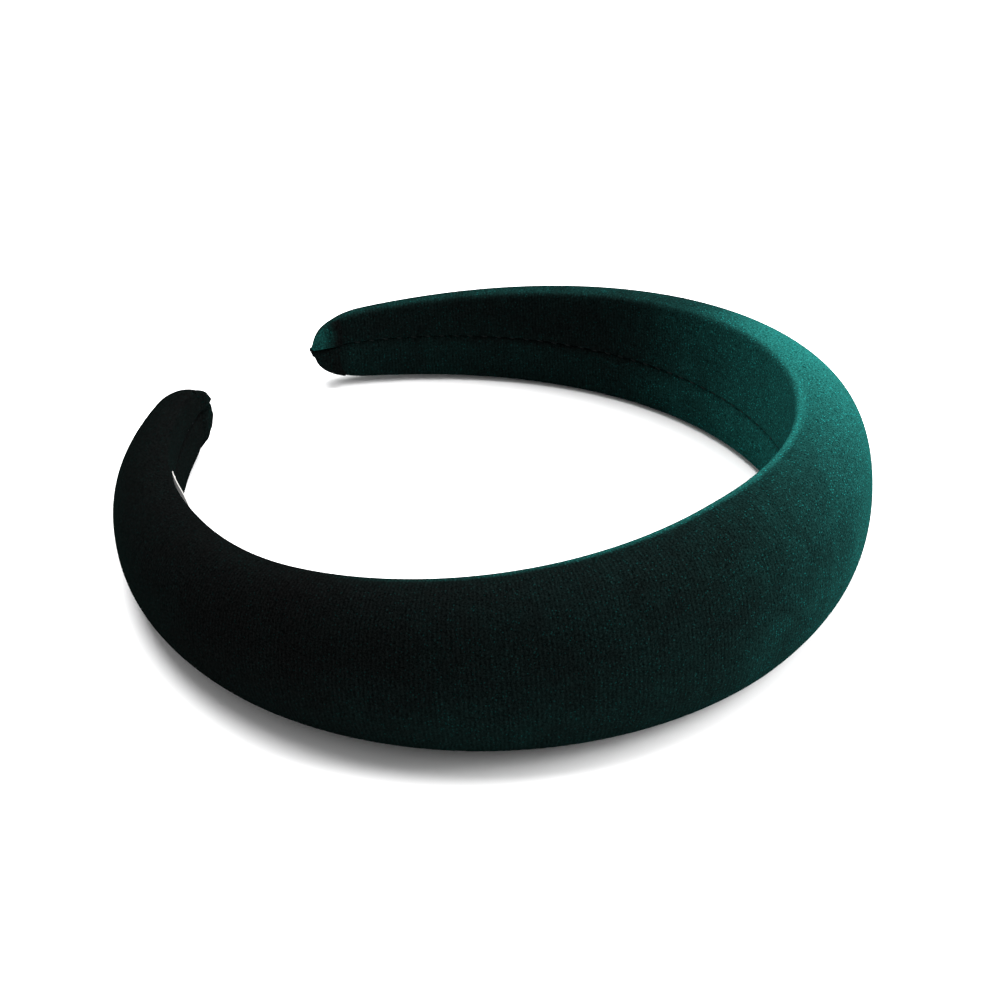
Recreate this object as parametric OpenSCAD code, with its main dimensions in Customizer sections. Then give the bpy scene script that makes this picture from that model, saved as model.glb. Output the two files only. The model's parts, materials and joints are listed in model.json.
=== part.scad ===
// Padded velvet headband, lying on its side as it rests on a table.
// The band is a C: a moulded core carries a foam pad, and a velvet sleeve wraps both
// and is joined along the middle of the inner face. Each arm is a taper from the crown
// to a rounded tip. The two arms part at the crown, where the band flexes open.
// Inside the design frame the crown is at the origin, the arms run towards -X, and the
// band's width is along Z. The finished part is then laid down on its lower edge.

/* [Band] */
// Length of one arm along the inner face, from the middle of the crown to the tip
arm_length = 190; // [155:1:230]
// Width of the band at the crown
crown_width = 40.5; // [32:0.5:50]
// Width of the band just before the rounded tips
tip_width = 15.2; // [12:0.2:19]
// Thickness at the crown, from the head side to the top of the pad
crown_thickness = 15.8; // [13:0.2:20]
// Thickness just before the rounded tips
tip_thickness = 6.6; // [5.4:0.2:8.4]
// Length of the rounding at each tip
tip_round = 12; // [9:0.5:15]

/* [Bend] */
// Angle that one arm turns through between the crown and the tip, in degrees
arm_turn = 151; // [125:1:158]
// Share of the bend at the crown
crown_curl = 1; // [0.8:0.05:1.3]
// Share of the bend at the shoulder of the arm
shoulder_curl = 1.38; // [1.1:0.02:1.7]
// Share of the bend at the temple
temple_curl = 1; // [0.8:0.05:1.3]
// Share of the bend at the tip
tip_curl = 0.56; // [0.4:0.02:0.8]

/* [Section] */
// Squareness of the dome's outline, where 2 is an ellipse
dome_power = 2.57; // [2:0.01:3.2]
// Fraction by which the head side is narrower than the band's full width
rim_tuck = 0.05; // [0.02:0.01:0.1]
// Power of the width's taper along the arm
width_taper = 1.31; // [1.1:0.01:1.8]
// Power of the thickness's taper along the arm
pad_taper = 2.3; // [1.7:0.1:2.8]
// Fullness of the thickness's taper near the tip
pad_fullness = 1.19; // [1:0.01:1.5]

/* [Layers] */
// Thickness of the velvet, with its pile
velvet = 1; // [0.8:0.1:1.2]
// Thickness of the moulded core
core_thickness = 2; // [1.6:0.1:2.4]
// Distance from the tip to the end of the core
core_setback = 3.5; // [3:0.5:5]
// Distance from the tip to the end of the foam pad
pad_setback = 11; // [9:0.5:16]
// Clearance left between one layer and the next
layer_gap = 0.05; // [0.02:0.01:0.1]
// Clearance left between pieces that meet on a curved face
face_gap = 0.15; // [0.12:0.01:0.25]

/* [Seam] */
// Width of the ditch along the seam
ditch_width = 1.8; // [1.5:0.1:2.4]
// Depth of the ditch along the seam
ditch_depth = 0.5; // [0.4:0.05:0.6]
// Thickness of the sewing thread
thread = 0.4; // [0.3:0.05:0.45]
// How far below the middle the seam runs at the crown
seam_drop = 4.5; // [0:0.5:6]
// How far above the middle the seam ends at the tip
seam_rise = 1; // [0:0.25:2]
// Length of the velvet turned over each tip
fold_length = 6.5; // [5:0.5:9]
// Thickness of the turned-over velvet
fold_thickness = 0.9; // [0.6:0.1:1]
// Width of the slit between the two lips of the turned-over velvet
slit_width = 0.5; // [0.3:0.1:0.8]

/* [Label] */
// Distance along the arm from the tip to the nearer end of the label
label_setback = 47; // [20:1:70]
// Length of the label along the arm
label_length = 23; // [16:0.5:30]
// Width of the label across the arm
label_width = 12; // [9:0.5:13]
// How far the label sits above the middle of the arm
label_rise = 3.5; // [-4:0.5:4]
// How far the middle of the label bows off the velvet
label_bow = 1.25; // [1:0.25:4]
// Thickness of the satin
label_thickness = 0.3; // [0.2:0.05:0.4]
// Number of stitches that hold each end of the label
label_stitches = 4; // [2:1:5]
// Length of one stitch
stitch_length = 1.8; // [1.4:0.1:2]

/* [Flex] */
// Gap between the two halves where the crown flexes
crown_gap = 0.3; // [0.2:0.05:0.5]

/* [Hidden] */

velvet_color = "#0f3d38";
foam_color = "#e6e1d2";
core_color = "#1d1e1f";
thread_color = "#0b2c2a";
satin_color = "#f0efeb";
stitch_color = "#d9d8d2";

// How finely the arm, its section and the small pieces are divided
track_steps = 240;
arm_steps = 26;
tip_steps = 6;
dome_steps = 14;
edge_steps = 4;
label_steps = 12;
fold_steps = 6;
thread_sides = 8;
lie_steps = 150;
lie_limit = 15;

// The end face at each tip: what is left of the width, and of the thickness
tip_face_width = 0.15;
tip_face_thickness = 0.5;
tip_round_power = 2.2;
// How quickly the sides draw in from the band's full width to the head side
tuck_reach = 0.25;
// Where along the arm the seam climbs, as fractions of its length
seam_climb_start = 0.3;
seam_climb_span = 0.65;

// ---- The line of the inner face ----

curls = [crown_curl, shoulder_curl, temple_curl, tip_curl];
curl_total = crown_curl + shoulder_curl + temple_curl + tip_curl;

function blend4(j, u) = [1, 4, 6, 4, 1][j] * pow(u, j) * pow(1 - u, 4 - j);

function bent(i, u) = i > 3 ? 0 : blend4(i + 1, u) + bent(i + 1, u);

// Angle that the arm has turned through at the fraction u of its length
function turned(u) =
    arm_turn * (
        curls[0] * bent(0, u) + curls[1] * bent(1, u)
        + curls[2] * bent(2, u) + curls[3] * bent(3, u)
    ) / curl_total;

track_step = arm_length / track_steps;

function along(i) =
    let (a = turned((i + 0.5) / track_steps))
    track_step * [-sin(a), cos(a)];

track = [for (i = 0, p = [0, 0]; i <= track_steps; p = p + along(i), i = i + 1) p];
track_x = [for (i = [0:track_steps]) [i * track_step, track[i][0]]];
track_y = [for (i = [0:track_steps]) [i * track_step, track[i][1]]];

// A point at the length s along the arm, the height z, and out from the inner face
function place(s, z, out) =
    let (a = turned(s / arm_length))
    [
        lookup(s, track_x) + out * cos(a),
        lookup(s, track_y) + out * sin(a),
        z
    ];

// ---- The band's section ----

// How much of the section is left at the length s, falling only in the rounded tip
function tip_fall(s) =
    let (e = max(0, (s - arm_length + tip_round) / tip_round))
    sqrt(max(0, 1 - pow(e, tip_round_power)));

function width_at(s) =
    (tip_width + (crown_width - tip_width) * (1 - pow(s / arm_length, width_taper)))
    * (tip_face_width + (1 - tip_face_width) * tip_fall(s));

function thickness_at(s) =
    (tip_thickness + (crown_thickness - tip_thickness)
        * pow(1 - pow(s / arm_length, pad_taper), pad_fullness))
    * (tip_face_thickness + (1 - tip_face_thickness) * tip_fall(s));

function flat_width(s, inset) = (width_at(s) - 2 * inset) * (1 - rim_tuck);

// The seam runs low at the crown and climbs past the middle towards the tip
function seam_height(s) =
    let (t = min(1, max(0, (s / arm_length - seam_climb_start) / seam_climb_span)))
    (seam_drop + seam_rise) * t * t * (3 - 2 * t) - seam_drop;

// The outline's height and distance out at the angle f round the dome
function dome(s, inset, low, f) =
    let (
        up = pow(max(0, sin(f)), 2 / dome_power),
        across = sign(cos(f)) * pow(abs(cos(f)), 2 / dome_power),
        tuck = 1 - rim_tuck * exp(-pow(up / tuck_reach, 2)),
        high = thickness_at(s) - inset
    )
    [(width_at(s) / 2 - inset) * across * tuck, low + (high - low) * up];

// A ring of the band: the ditch's bottom, one shore, the dome, and the other shore
function band_ring(s, inset, low, ditch) =
    let (
        profile = [
            [seam_height(s), low + ditch],
            [seam_height(s) + ditch_width / 2, low],
            for (i = [0:dome_steps]) dome(s, inset, low, 180 * i / dome_steps),
            [seam_height(s) - ditch_width / 2, low]
        ]
    )
    [for (p = profile) place(s, p[0], p[1])];

// A flat strip with round edges, from the distance low to low + deep
function strip_ring(s, wide, low, deep) =
    let (
        r = deep / 2,
        profile = [
            for (side = [1, -1]) for (i = [0:edge_steps])
                let (f = 180 * i / edge_steps - 90 * side)
                [side * (wide / 2 - r) + r * cos(f), low + r + r * sin(f)]
        ]
    )
    [for (p = profile) place(s, p[0], p[1])];

// A round thread that runs along the arm
function thread_ring(s, z, out) = [
    for (i = [0:thread_sides - 1])
        let (f = 360 * i / thread_sides)
        place(s, z + thread / 2 * cos(f), out + thread / 2 * sin(f))
];

// A plain block between two heights, from the distance low to high
function block_ring(s, bottom, top, low, high) = [
    place(s, top, low),
    place(s, top, high),
    place(s, bottom, high),
    place(s, bottom, low)
];

// Lengths along the arm at which the rings stand
round_start = arm_length - tip_round;
arm_stops = [for (i = [0:arm_steps]) round_start * i / arm_steps];
tip_stops = [for (i = [1:tip_steps]) round_start + tip_round * sin(90 * i / tip_steps)];
stops = [each arm_stops, each tip_stops];

function stops_to(end) = [for (s = stops) if (s < end - track_step) s, end];

// ---- Solids swept along the arm ----

function walls(from, count, n, inward) = [
    for (i = [0:count - 2]) for (j = [0:n - 1])
        let (a = from + i * n + j, b = from + i * n + (j + 1) % n)
        each (inward ? [[a, b + n, a + n], [a, b, b + n]] : [[a, a + n, b + n], [a, b + n, b]])
];

// A flat end over one ring of n points, in order or reversed, fanned out from the point first
function fan(from, n, first = 0) = [for (j = [0:n - 1]) from + (first + j) % n];

function fan_back(from, n, first = 0) = [for (j = [n:-1:1]) from + (first + j) % n];

// A solid bar from the first ring to the last
module bar(rings) {
    n = len(rings[0]);
    count = len(rings);
    polyhedron(
        points = [for (r = rings) each r],
        faces = [
            fan(0, n),
            fan_back((count - 1) * n, n),
            each walls(0, count, n, false)
        ]
    );
}

// A sleeve that is open at its first ring and closed at its last
module sleeve(outer, inner) {
    n = len(outer[0]);
    inside = len(outer) * n;
    mouth = [
        for (j = [0:n - 1])
            let (k = (j + 1) % n)
            each [[j, k, inside + k], [j, inside + k, inside + j]]
    ];
    polyhedron(
        points = [for (r = outer) each r, for (r = inner) each r],
        faces = [
            each mouth,
            fan_back(inside - n, n),
            fan(inside + (len(inner) - 1) * n, n, floor(n / 2)),
            each walls(0, len(outer), n, false),
            each walls(inside, len(inner), n, true)
        ]
    );
}

// ---- How the band lies on its lower edge ----

skin = [for (s = stops) band_ring(s, 0, 0, ditch_depth)];
skin_points = [for (r = skin) each r];

function sum(list, i = 0) = i < len(list) ? list[i] + sum(list, i + 1) : 0;

// The core and the velvet carry nearly all the weight, and both go with the width
heft = [for (s = arm_stops) width_at(s)];
reach = [for (s = arm_stops) place(s, 0, thickness_at(s) / 2)[0]];
balance_x = sum([for (i = [0:arm_steps]) heft[i] * reach[i]]) / sum(heft);

function lowest(a) = min([for (p = skin_points) p[0] * sin(a) + p[2] * cos(a)]);

// The band settles at the angle that brings its weight nearest to the table
lie_angles = [for (i = [0:lie_steps]) lie_limit * i / lie_steps];
lie_heights = [for (a = lie_angles) balance_x * sin(a) - lowest(a)];
lie_best = min(lie_heights);
lie = [for (i = [0:lie_steps]) if (lie_heights[i] == lie_best) lie_angles[i]][0];

laid_x = [for (p = skin_points) p[0] * cos(lie) - p[2] * sin(lie)];
centre_x = (min(laid_x) + max(laid_x)) / 2;

module lay_down() {
    translate([-centre_x, 0, -lowest(lie)])
        rotate([0, -lie, 0])
            children();
}

// The left arm is on the +Y side, and the right arm is its mirror image
module on_left() {
    lay_down() translate([0, crown_gap / 2, 0]) children();
}

module on_right() {
    lay_down() translate([0, -crown_gap / 2, 0]) mirror([0, 1, 0]) children();
}

// ---- Where the layers lie, out from the inner face ----

core_low = velvet + layer_gap;
pad_low = core_low + core_thickness + layer_gap;
layer_inset = velvet + layer_gap;

// ---- The pieces of one arm ----

module cover() {
    color(velvet_color)
        sleeve(
            skin,
            [for (s = stops_to(arm_length - 2 * velvet)) band_ring(s, velvet, velvet, 0)]
        );
}

module core() {
    color(core_color)
        bar([
            for (s = stops_to(arm_length - core_setback))
                strip_ring(s, flat_width(s, layer_inset), core_low, core_thickness)
        ]);
}

// The pad has the sleeve's own faceted dome, cut off flat where it sits on the core
function pad_ring(s) =
    let (
        outline = [for (i = [0:dome_steps]) dome(s, velvet + face_gap, core_low, 180 * i / dome_steps)],
        heights = [for (i = [0:dome_steps]) [i, outline[i][0]]],
        outs = [for (i = [0:dome_steps]) [i, outline[i][1]]],
        rising = [for (i = [0:floor(dome_steps / 2)]) [outline[i][1], i]],
        foot = lookup(pad_low, rising),
        pitch = (dome_steps - 2 * foot) / dome_steps
    )
    [
        for (i = [0:dome_steps])
            let (f = foot + pitch * i)
            place(s, lookup(f, heights), lookup(f, outs))
    ];

module pad() {
    color(foam_color)
        bar([for (s = stops_to(arm_length - pad_setback)) pad_ring(s)]);
}

// The thread sits in the ditch, just clear of both of its sides
shore = sqrt(pow(ditch_width / 2, 2) + pow(ditch_depth, 2));
seam_out = ditch_depth - (thread / 2 + layer_gap) * shore / (ditch_width / 2);

module seam() {
    color(thread_color)
        bar([
            for (s = stops_to(arm_length - fold_length - stitch_length))
                thread_ring(s, seam_height(s), seam_out)
        ]);
}

// Two lips of velvet turned over the tip onto the inner face, with a slit between them
module fold() {
    start = arm_length - fold_length;
    span = fold_length - layer_gap;
    color(velvet_color)
        for (side = [1, -1])
            bar([
                for (i = [0:fold_steps])
                    let (
                        s = start + span * sin(90 * i / fold_steps),
                        slit = seam_height(s) + side * slit_width / 2,
                        edge = side * (flat_width(s, 0) / 2 - layer_gap)
                    )
                    block_ring(s, min(slit, edge), max(slit, edge), -face_gap - fold_thickness, -face_gap)
            ]);
}

label_end = arm_length - label_setback;
label_start = label_end - label_length;

function bow(i) = label_bow * pow(sin(180 * i / label_steps), 2);

module label() {
    color(satin_color)
        bar([
            for (i = [0:label_steps])
                block_ring(
                    label_start + label_length * i / label_steps,
                    label_rise - label_width / 2,
                    label_rise + label_width / 2,
                    -face_gap - label_thickness - bow(i),
                    -face_gap - bow(i)
                )
        ]);
}

// Each stitch crosses an end of the label and lies on top of it
module stitching() {
    out = -2 * face_gap - label_thickness - thread / 2;
    pitch = label_width / label_stitches;
    color(stitch_color)
        for (end = [label_start, label_end])
            for (i = [0:label_stitches - 1])
                let (z = label_rise - label_width / 2 + pitch * (i + 0.5))
                bar([
                    for (side = [-1, 1])
                        thread_ring(end + side * stitch_length / 2, z, out)
                ]);
}

// ---- The named sub-parts ----

module band_core_left() { on_left() core(); }
module band_core_right() { on_right() core(); }
module foam_pad_left() { on_left() pad(); }
module foam_pad_right() { on_right() pad(); }
module velvet_cover_left() { on_left() cover(); }
module velvet_cover_right() { on_right() cover(); }
module seam_thread_left() { on_left() seam(); }
module seam_thread_right() { on_right() seam(); }
module tip_fold_left() { on_left() fold(); }
module tip_fold_right() { on_right() fold(); }
module care_label() { on_right() label(); }
module label_stitching() { on_right() stitching(); }

band_core_left();
band_core_right();
foam_pad_left();
foam_pad_right();
velvet_cover_left();
velvet_cover_right();
seam_thread_left();
seam_thread_right();
tip_fold_left();
tip_fold_right();
care_label();
label_stitching();
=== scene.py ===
"""A padded velvet headband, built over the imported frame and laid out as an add-on."""
import json
import math

import bmesh
import bpy
import numpy as np
from bpy.props import FloatProperty, FloatVectorProperty, IntProperty, PointerProperty
from bpy.types import Operator, Panel, PropertyGroup
from mathutils import Matrix, Vector

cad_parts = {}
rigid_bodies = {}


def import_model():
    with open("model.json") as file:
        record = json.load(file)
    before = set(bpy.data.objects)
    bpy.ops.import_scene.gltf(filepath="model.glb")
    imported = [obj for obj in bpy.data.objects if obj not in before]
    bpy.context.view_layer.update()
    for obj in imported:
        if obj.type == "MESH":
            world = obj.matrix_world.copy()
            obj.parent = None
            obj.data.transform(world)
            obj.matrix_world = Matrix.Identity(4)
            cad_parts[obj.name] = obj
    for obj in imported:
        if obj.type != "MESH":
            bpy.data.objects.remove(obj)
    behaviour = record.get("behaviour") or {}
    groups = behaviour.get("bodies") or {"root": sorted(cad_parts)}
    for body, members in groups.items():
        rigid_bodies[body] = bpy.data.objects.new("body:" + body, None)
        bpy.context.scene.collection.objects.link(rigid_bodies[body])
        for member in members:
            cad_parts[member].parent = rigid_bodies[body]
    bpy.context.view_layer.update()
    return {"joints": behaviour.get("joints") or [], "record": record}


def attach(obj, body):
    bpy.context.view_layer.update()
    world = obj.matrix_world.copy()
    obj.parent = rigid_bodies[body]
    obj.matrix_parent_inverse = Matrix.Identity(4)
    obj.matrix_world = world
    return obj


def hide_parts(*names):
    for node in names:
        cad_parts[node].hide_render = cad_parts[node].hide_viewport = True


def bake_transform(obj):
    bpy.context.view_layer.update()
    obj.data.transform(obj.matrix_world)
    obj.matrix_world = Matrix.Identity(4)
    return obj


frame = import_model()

bl_info = {
    "name": "Padded Velvet Headband",
    "version": (1, 0, 0),
    "blender": (4, 5, 0),
    "location": "3D View > Sidebar > Headband",
    "description": "Makes a padded velvet headband, piece by piece, over its packed frame",
    "category": "Add Mesh",
}

RECORD = frame["record"]
SEAT = RECORD["mounts"][0]
FLEX = frame["joints"][0]
RIGHT, LEFT = FLEX["parent"], FLEX["child"]

# The band's own directions: out of the crown, along the left arm, and up its width
OUT = -Vector(SEAT["axis"]).normalized()
UP = -Vector(FLEX["axis"]).normalized()
AHEAD = UP.cross(OUT)
LAY_DOWN = Matrix.Translation(SEAT["pos_m"]) @ Matrix((OUT, AHEAD, UP)).transposed().to_4x4()


# ---------------------------------------------------------------- sizes and colours


class HeadbandSizes(PropertyGroup):
    """Sizes of the band and of its pieces"""

    arm_length: FloatProperty(
        name="Arm length", description="Inner face of one arm, crown to tip",
        default=0.190, unit="LENGTH")
    arm_turn: FloatProperty(
        name="Arm turn", description="Angle that one arm turns through",
        default=math.radians(151), subtype="ANGLE")
    curls: FloatVectorProperty(
        name="Curls", description="Share of the bend at the crown, shoulder, temple and tip",
        default=(1.0, 1.38, 1.0, 0.56), size=4)
    crown_width: FloatProperty(
        name="Crown width", description="Width of the band at the crown",
        default=0.0405, unit="LENGTH")
    tip_width: FloatProperty(
        name="Tip width", description="Width of the band just before the rounded tips",
        default=0.0152, unit="LENGTH")
    crown_thickness: FloatProperty(
        name="Crown thickness", description="From the head side to the top of the dome",
        default=0.0158, unit="LENGTH")
    tip_thickness: FloatProperty(
        name="Tip thickness", description="Thickness just before the rounded tips",
        default=0.0066, unit="LENGTH")
    tip_round: FloatProperty(
        name="Tip rounding", description="Length of the rounding at each tip",
        default=0.012, unit="LENGTH")
    right_fill: FloatProperty(
        name="Right fill", description="How far the right arm's head side stands in near its tip",
        default=0.0022, unit="LENGTH")
    rim_radius: FloatProperty(
        name="Rim radius", description="Radius of the velvet where it turns over the core's edge",
        default=0.0014, unit="LENGTH")
    velvet: FloatProperty(
        name="Velvet", description="Thickness of the velvet with its pile",
        default=0.001, unit="LENGTH")
    core_thickness: FloatProperty(
        name="Core", description="Thickness of the moulded core",
        default=0.002, unit="LENGTH")
    ditch_width: FloatProperty(
        name="Ditch width", description="Width of the ditch along the seam",
        default=0.0017, unit="LENGTH")
    ditch_depth: FloatProperty(
        name="Ditch depth", description="Depth of the ditch along the seam",
        default=0.0006, unit="LENGTH")
    seam_drop: FloatProperty(
        name="Seam drop", description="How far below the middle the seam runs at the crown",
        default=0.0045, unit="LENGTH")
    seam_rise: FloatProperty(
        name="Seam rise", description="How far above the middle the seam ends at the tip",
        default=0.001, unit="LENGTH")
    fold_length: FloatProperty(
        name="Fold length", description="Velvet turned over each tip",
        default=0.0065, unit="LENGTH")
    fold_thickness: FloatProperty(
        name="Fold thickness", description="Thickness of the turned-over velvet",
        default=0.0009, unit="LENGTH")
    label_setback: FloatProperty(
        name="Label setback", description="From the tip to the nearer end of the label",
        default=0.047, unit="LENGTH")
    label_length: FloatProperty(
        name="Label length", description="Length of the label along the arm",
        default=0.023, unit="LENGTH")
    label_width: FloatProperty(
        name="Label width", description="Width of the label across the arm",
        default=0.012, unit="LENGTH")
    label_rise: FloatProperty(
        name="Label rise", description="How far the label sits above the middle of the arm",
        default=0.0035, unit="LENGTH")
    label_bow: FloatProperty(
        name="Label bow", description="How far the middle of the label bows off the velvet",
        default=0.0005, unit="LENGTH")
    thread: FloatProperty(
        name="Thread", description="Thickness of the sewing thread",
        default=0.0004, unit="LENGTH")
    stitch_pitch: FloatProperty(
        name="Stitch pitch", description="From one seam stitch to the next",
        default=0.0032, unit="LENGTH")
    label_stitches: IntProperty(
        name="Label stitches", description="Stitches that hold each end of the label",
        default=4, min=2, max=8)


class HeadbandLooks(PropertyGroup):
    """Colours and grain of the band's materials"""

    ground: FloatVectorProperty(
        name="Velvet ground", description="Velvet seen straight into the pile",
        default=(0.0017, 0.0018, 0.0018), size=3, subtype="COLOR", min=0, max=1)
    # Painted light: the lit colour that the velvet is painted where the light falls
    painted_lit_velvet: FloatVectorProperty(
        name="Lit pile", description="Velvet where the pile leans into the light",
        default=(0.0072, 0.069, 0.061), size=3, subtype="COLOR", min=0, max=1)
    sheen: FloatVectorProperty(
        name="Sheen", description="Colour that the pile glints at its edges",
        default=(0.02, 0.36, 0.30), size=3, subtype="COLOR", min=0, max=1)
    rib_pitch: FloatProperty(
        name="Rib pitch", description="From one knitted rib to the next",
        default=0.0007, unit="LENGTH")
    foam: FloatVectorProperty(
        name="Sponge", description="Colour of the sponge pad",
        default=(0.80, 0.76, 0.66), size=3, subtype="COLOR", min=0, max=1)
    core: FloatVectorProperty(
        name="Core", description="Colour of the moulded core",
        default=(0.018, 0.018, 0.02), size=3, subtype="COLOR", min=0, max=1)
    satin: FloatVectorProperty(
        name="Satin", description="Colour of the label",
        default=(0.42, 0.41, 0.39), size=3, subtype="COLOR", min=0, max=1)


def sizes():
    return bpy.context.scene.headband_sizes


def looks():
    return bpy.context.scene.headband_looks


# ---------------------------------------------------------------- the band's shape


# How the width and the thickness fall from the crown to the tip
WIDTH_POWER = 1.31
THICKNESS_POWER = 2.3
THICKNESS_SHARPNESS = 1.19

# How round each tip is, and the share of the width and the thickness at its very end
TIP_POWER = 2.2
TIP_WIDTH_LEFT = 0.15
TIP_THICKNESS_LEFT = 0.5

# Where along the arm the seam starts to climb, and over what length, as shares of the arm
SEAM_CLIMB_START = 0.3
SEAM_CLIMB_LENGTH = 0.65

# Clear gaps between the layers, and how far the core and the pad stop short of the tip
LAYER_GAP = 0.00005
PAD_SIDE_GAP = 0.00015
CORE_SETBACK = 0.0035
PAD_SETBACK = 0.011


def ease(value, low, high):
    """0 below low and 1 above high, with a soft rise between them."""
    t = np.clip((value - low) / (high - low), 0, 1)
    return t * t * (3 - 2 * t)


def turned(u):
    """Angle that an arm has turned through at the fraction u of its length."""
    z = sizes()
    share = [math.comb(4, j) * u**j * (1 - u) ** (4 - j) for j in range(5)]
    bends = [curl * sum(share[i + 1:]) for i, curl in enumerate(z.curls)]
    return z.arm_turn * sum(bends) / sum(z.curls)


def tip_fall(s):
    """How much of the section is left at the length s, falling only in the rounded tip."""
    z = sizes()
    e = np.clip((s - z.arm_length + z.tip_round) / z.tip_round, 0, 1)
    return np.sqrt(1 - e**TIP_POWER)


def width_at(s):
    z = sizes()
    u = np.clip(s / z.arm_length, 0, 1)
    taper = z.tip_width + (z.crown_width - z.tip_width) * (1 - u**WIDTH_POWER)
    return taper * (TIP_WIDTH_LEFT + (1 - TIP_WIDTH_LEFT) * tip_fall(s))


def thickness_at(s):
    z = sizes()
    u = np.clip(s / z.arm_length, 0, 1)
    fall = (1 - u**THICKNESS_POWER) ** THICKNESS_SHARPNESS
    taper = z.tip_thickness + (z.crown_thickness - z.tip_thickness) * fall
    return taper * (TIP_THICKNESS_LEFT + (1 - TIP_THICKNESS_LEFT) * tip_fall(s))


# How far the velvet is drawn in at the rim, and up to what share of the dome's height
RIM_TUCK = 0.05
RIM_TUCK_REACH = 0.25
DOME_POWER = 2.57


def flat_width(s, inset=0.0):
    return (width_at(s) - 2 * inset) * (1 - RIM_TUCK)


def seam_height(s):
    """The seam runs low at the crown and climbs past the middle towards each tip."""
    z = sizes()
    t = np.clip((s / z.arm_length - SEAM_CLIMB_START) / SEAM_CLIMB_LENGTH, 0, 1)
    return (z.seam_drop + z.seam_rise) * t * t * (3 - 2 * t) - z.seam_drop


def dome(s, inset, low, f):
    """Height and distance out of the dome at the angle f, inset from the velvet's face."""
    up = np.sin(f) ** (2 / DOME_POWER)
    across = np.sign(np.cos(f)) * np.abs(np.cos(f)) ** (2 / DOME_POWER)
    tuck = 1 - RIM_TUCK * np.exp(-((up / RIM_TUCK_REACH) ** 2))
    high = thickness_at(s) - inset
    return (width_at(s) / 2 - inset) * across * tuck, low + (high - low) * up


def dome_foot(s, inset, low, rise):
    """The angle at which the dome is that far above its base."""
    share = np.clip(rise / (thickness_at(s) - inset - low), 0, 0.9)
    return np.arcsin(share ** (DOME_POWER / 2))


def filled_in(s, out):
    """The right arm is packed fuller than the left: its head side stands in a little."""
    far = ease(-s, 0.085, 0.125) * (1 - 0.25 * ease(-s, 0.150, 0.180))
    rest = 1 - np.clip(out / thickness_at(np.abs(s)), 0, 1)
    return out - sizes().right_fill * far * rest


# ---------------------------------------------------------------- making and bending


def deselect():
    if bpy.context.mode != "OBJECT":
        bpy.ops.object.mode_set(mode="OBJECT")
    bpy.ops.object.select_all(action="DESELECT")


def only(piece):
    deselect()
    piece.select_set(True)
    bpy.context.view_layer.objects.active = piece


def points_of(piece):
    co = np.empty(len(piece.data.vertices) * 3)
    piece.data.vertices.foreach_get("co", co)
    return co.reshape(-1, 3)


def set_points(piece, co):
    piece.data.vertices.foreach_set("co", np.asarray(co, float).ravel())
    piece.data.update()


def apply(piece, name, kind, **settings):
    """Add one modifier to the piece and apply it."""
    modifier = piece.modifiers.new(name, kind)
    for key, value in settings.items():
        setattr(modifier, key, value)
    only(piece)
    bpy.ops.object.modifier_apply(modifier=modifier.name)


def cloth_grid(name, along, across):
    """A flat grid with that many squares each way. Its x and y run from 0 to 1."""
    deselect()
    bpy.ops.mesh.primitive_grid_add(
        x_subdivisions=along, y_subdivisions=across, size=1, location=(0.5, 0.5, 0))
    piece = bpy.context.object
    piece.name = name
    bpy.ops.object.transform_apply(location=True, rotation=False, scale=False)
    return piece


def real_size_uv(piece, uv):
    """Give the piece a UV map in metres, from one (u, v) for each point."""
    layer = piece.data.uv_layers.active or piece.data.uv_layers.new(name="cloth")
    layer.name = "cloth"
    corner = np.empty(len(piece.data.loops), int)
    piece.data.loops.foreach_get("vertex_index", corner)
    layer.data.foreach_set("uv", np.asarray(uv, float)[corner].ravel())


def store_painted_tone(piece, paint_level):
    """Store the share of painted light on the velvet, 0 to 1, at each point."""
    pile = piece.data.attributes.new("painted_light_and_shade", "FLOAT", "POINT")
    pile.data.foreach_set("value", np.asarray(paint_level, np.float32).ravel())


def painted_light_and_shade(s, out, height):
    """Painted light and shade on the velvet: dark on the right arm, lit past the crown."""
    # Painted light on the dome rises past the crown, a little on the right arm's shoulder and lower
    # half
    outside = ease(s, -0.060, 0.082) ** 3 + 0.026 * ease(s, -0.085, -0.030)
    outside = outside + 0.020 * ease(-height, -0.006, 0.008) * ease(s, -0.110, -0.050)
    # The painted light fades again further down the left arm
    outside = outside * (1 - 0.88 * ease(s, 0.072, 0.108))
    # The head side gets less painted light, a little more below the seam than above it
    below = ease(seam_height(np.abs(s)) - height, 0, 0.002)
    inside = (0.40 + 0.10 * below) * ease(s, -0.060, 0.060) ** 2
    inside = inside * (1 - (0.965 - 0.05 * below) * ease(s, 0.064, 0.125))
    over_rim = ease(out, 0.0004, 0.0022)
    # A painted highlight runs along the upper rim
    rim_highlight_paint = np.exp(-(((out - 0.0011) / 0.0008) ** 2)) * (height > 0)
    rim_highlight_paint = rim_highlight_paint * ease(s, -0.085, 0) * (0.5 - 0.45 * ease(s, 0.035, 0.085))
    return inside + (outside - inside) * over_rim + rim_highlight_paint


def close_up(piece, weld=0.00002):
    """Weld what meets and turn the faces outward."""
    only(piece)
    bpy.ops.object.mode_set(mode="EDIT")
    bpy.ops.mesh.select_all(action="SELECT")
    bpy.ops.mesh.remove_doubles(threshold=weld)
    bpy.ops.mesh.normals_make_consistent(inside=False)
    bpy.ops.object.mode_set(mode="OBJECT")


# The step past each open end, and the share of the end's size that the cap has
CAP_STEP = 0.00025
CAP_SHARE = 0.72


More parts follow.
